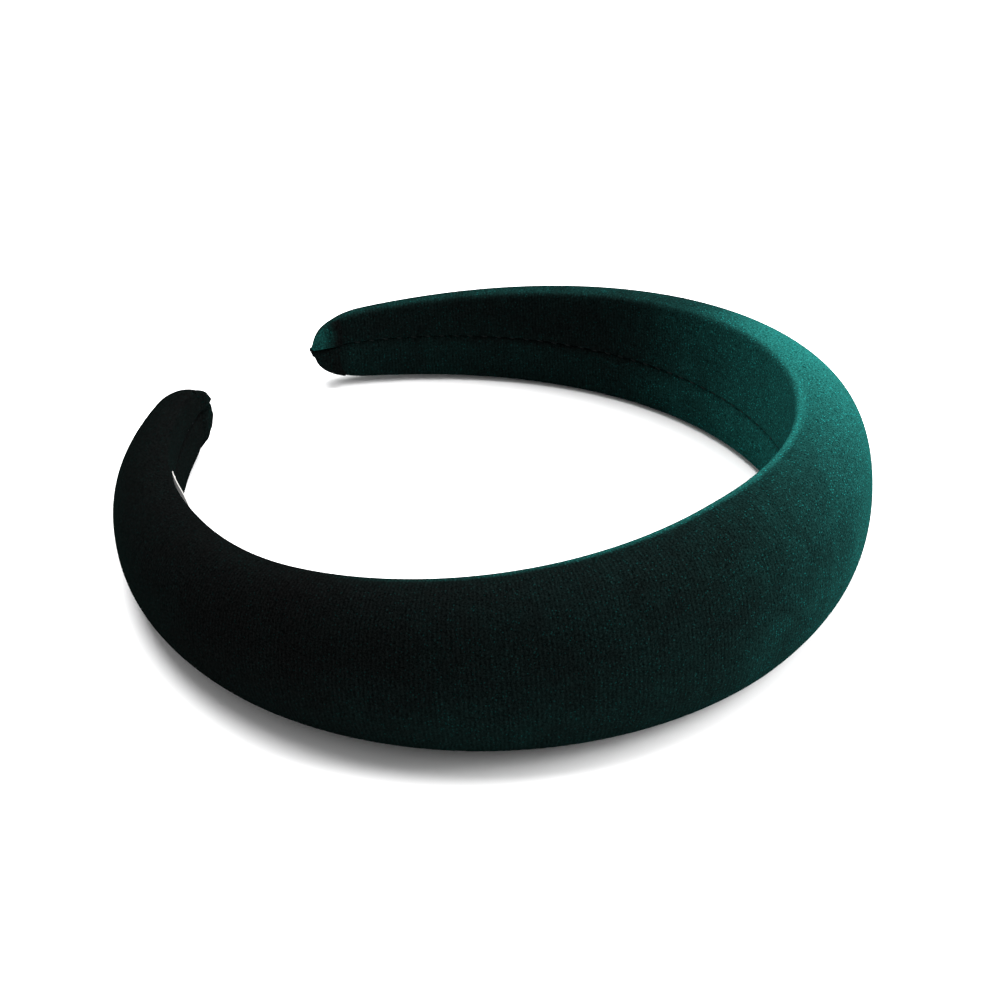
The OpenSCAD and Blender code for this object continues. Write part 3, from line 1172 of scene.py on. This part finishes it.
class HEADBAND_OT_stage(Operator):
    """Set a pale floor, soft studio lights and the camera"""

    bl_idname = "headband.stage"
    bl_label = "Stage"

    def execute(self, context):
        scene = bpy.context.scene
        deselect()
        bpy.ops.mesh.primitive_plane_add(size=6, location=(0, 0, -FLOOR_DROP))
        floor = bpy.context.object
        floor.name = "studio_floor"
        material, tree, shader = new_material("pale_floor")
        place = node(tree, "ShaderNodeTexCoord").outputs["Object"]
        grain = noise(tree, place, 40, detail=3)
        tree.links.new(mix_colour(tree, grain, (0.93, 0.93, 0.935), (0.95, 0.95, 0.95)),
                       shader.inputs["Base Color"])
        shader.inputs["Roughness"].default_value = 0.85
        shader.inputs["Specular IOR Level"].default_value = 0.1
        floor.data.materials.append(material)

        world = bpy.data.worlds.new("studio")
        world.use_nodes = True
        world.node_tree.nodes["Background"].inputs[0].default_value = (1, 1, 1, 1)
        world.node_tree.nodes["Background"].inputs[1].default_value = WORLD_LIGHT
        scene.world = world

        soft_light("key", place=(0.60, 0.78, 0.55), target=(0.03, 0.02, 0.02),
                   size=0.9, power=26)
        soft_light("top", place=(-0.90, 0.66, 3.45), target=(0, 0, 0), size=3.3, power=342)

        around, above = math.radians(CAMERA_AROUND), math.radians(CAMERA_ABOVE)
        back = Vector((math.sin(around) * math.cos(above),
                       -math.cos(around) * math.cos(above), math.sin(above)))
        right = Vector((math.cos(around), math.sin(around), 0))
        up = back.cross(right)
        eye = Vector(CAMERA_AIM) + back * CAMERA_DISTANCE
        eye = eye + right * CAMERA_RIGHT - up * CAMERA_DOWN
        deselect()
        bpy.ops.object.camera_add(location=eye)
        camera = bpy.context.object
        camera.name = "front_camera"
        camera.rotation_euler = (-back).to_track_quat("-Z", "Y").to_euler()
        camera.data.lens = CAMERA_LENS
        camera.data.sensor_width = 36
        camera.data.clip_start = 0.01
        scene.camera = camera
        scene.view_settings.view_transform = "Standard"
        return {"FINISHED"}


# ---------------------------------------------------------------- the panel


PIECES = (
    HEADBAND_OT_band_core,
    HEADBAND_OT_foam_pad,
    HEADBAND_OT_velvet_cover,
    HEADBAND_OT_tip_folds,
    HEADBAND_OT_seam_thread,
    HEADBAND_OT_care_label,
    HEADBAND_OT_label_stitches,
    HEADBAND_OT_stage,
)


class HEADBAND_PT_panel(Panel):
    """The headband's sizes, colours and pieces"""

    bl_label = "Padded Velvet Headband"
    bl_space_type = "VIEW_3D"
    bl_region_type = "UI"
    bl_category = "Headband"

    def draw(self, context):
        scene = context.scene
        for group in (scene.headband_sizes, scene.headband_looks):
            box = self.layout.box()
            for name in group.__annotations__:
                box.prop(group, name)
        for piece in PIECES:
            self.layout.operator(piece.bl_idname)


CLASSES = (HeadbandSizes, HeadbandLooks, *PIECES, HEADBAND_PT_panel)


def register():
    for cls in CLASSES:
        bpy.utils.register_class(cls)
    bpy.types.Scene.headband_sizes = PointerProperty(type=HeadbandSizes)
    bpy.types.Scene.headband_looks = PointerProperty(type=HeadbandLooks)


def unregister():
    del bpy.types.Scene.headband_looks
    del bpy.types.Scene.headband_sizes
    for cls in reversed(CLASSES):
        bpy.utils.unregister_class(cls)


def main():
    register()
    for piece in PIECES:
        group, name = piece.bl_idname.split(".")
        getattr(getattr(bpy.ops, group), name)()


if __name__ == "__main__":
    main()
